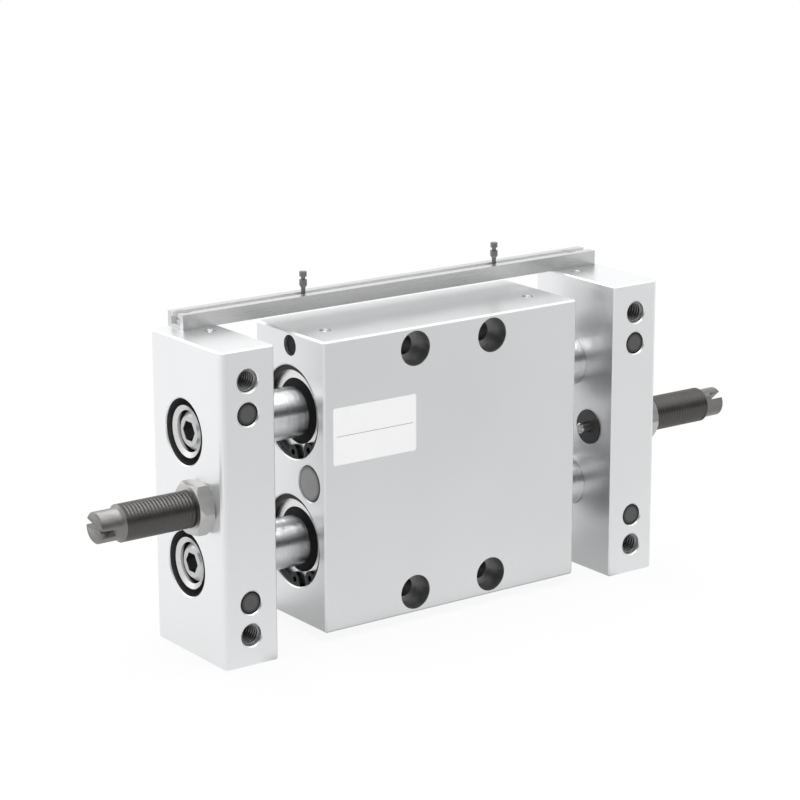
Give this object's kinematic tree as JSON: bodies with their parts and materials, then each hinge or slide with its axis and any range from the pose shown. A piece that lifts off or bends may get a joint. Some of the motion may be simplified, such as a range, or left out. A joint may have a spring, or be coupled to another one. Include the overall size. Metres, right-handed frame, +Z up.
{
  "type": "pneumatic slide table",
  "caption": "Pneumatic slide table: a housing slides on chromed rods between end plates that carry screw-in dampers and a slotted switch rail.",
  "frame": {"origin": "middle of the length and depth, level with the bottom faces of the end plates, on which the unit stands", "axes": "+X along the rods, the direction of travel; -Y is the front, with the counterbored holes; +Z up, towards the switch rail"},
  "size_m": [0.2072, 0.0344, 0.0938],
  "materials": {
    "anodised_aluminium": "satin, clear anodised",
    "rail_aluminium": "drawn bar, clear anodised",
    "machined_aluminium": "turned, bright",
    "hard_chrome": "ground and hard-chromed",
    "black_oxide_steel": "black oxide",
    "nickel_steel": "nickel plated",
    "zinc_steel": "bright zinc plated",
    "dark_zinc_steel": "dull, dark plated",
    "ground_steel": "ground, hardened",
    "sintered_bronze": "oil-filled sintered bronze",
    "black_rubber": "moulded nitrile",
    "ferrite_magnet": "sintered ferrite, matt"
  },
  "bodies": {
    "frame": {"left_end_plate": "anodised_aluminium", "left_rod_screws": "zinc_steel", "left_rod_washers": "nickel_steel", "left_port_plugs": "dark_zinc_steel", "left_damper_body": "black_oxide_steel", "left_lock_nut": "nickel_steel", "right_end_plate": "anodised_aluminium", "right_rod_screws": "zinc_steel", "right_rod_washers": "nickel_steel", "right_port_plugs": "dark_zinc_steel", "right_damper_body": "black_oxide_steel", "right_lock_nut": "nickel_steel", "upper_rod": "hard_chrome", "lower_rod": "hard_chrome", "upper_piston": "machined_aluminium", "lower_piston": "machined_aluminium", "piston_seals": "black_rubber", "piston_clips": "black_oxide_steel", "plate_passage_balls": "zinc_steel", "switch_rail": "rail_aluminium", "rail_screws": "zinc_steel"},
    "housing": {"housing": "anodised_aluminium", "housing_passage_balls": "zinc_steel", "left_rod_covers": "machined_aluminium", "left_bushings": "sintered_bronze", "left_rod_seals": "black_rubber", "left_cover_orings": "black_rubber", "left_retaining_rings": "black_oxide_steel", "left_stop_disc": "ground_steel", "left_sensor_magnet": "ferrite_magnet", "right_rod_covers": "machined_aluminium", "right_bushings": "sintered_bronze", "right_rod_seals": "black_rubber", "right_cover_orings": "black_rubber", "right_retaining_rings": "black_oxide_steel", "right_stop_disc": "ground_steel", "right_sensor_magnet": "ferrite_magnet"},
    "left_plunger": {"left_plunger": "zinc_steel"},
    "right_plunger": {"right_plunger": "zinc_steel"},
    "left_clamp": {"left_clamp_nut": "zinc_steel", "left_clamp_screw": "zinc_steel", "left_clamp_collar": "zinc_steel"},
    "right_clamp": {"right_clamp_nut": "zinc_steel", "right_clamp_screw": "zinc_steel", "right_clamp_collar": "zinc_steel"}
  },
  "joints": [
    {"name": "housing_slide", "type": "slide", "parent": "frame", "child": "housing", "axis": [1, 0, 0], "range_m": [-0.0154, 0.0096]},
    {"name": "left_plunger_slide", "type": "slide", "parent": "frame", "child": "left_plunger", "axis": [1, 0, 0], "range_m": [-0.0037, 0.00231]},
    {"name": "right_plunger_slide", "type": "slide", "parent": "frame", "child": "right_plunger", "axis": [1, 0, 0], "range_m": [-0.0037, 0.00231]},
    {"name": "left_clamp_slide", "type": "slide", "parent": "frame", "child": "left_clamp", "axis": [1, 0, 0], "range_m": [-0.031, 0.028]},
    {"name": "right_clamp_slide", "type": "slide", "parent": "frame", "child": "right_clamp", "axis": [1, 0, 0], "range_m": [-0.028, 0.021]}
  ],
  "couplings": [
    {"joint": "left_plunger_slide", "follows": "housing_slide", "ratio": 0.24},
    {"joint": "right_plunger_slide", "follows": "housing_slide", "ratio": 0.24}
  ]
}
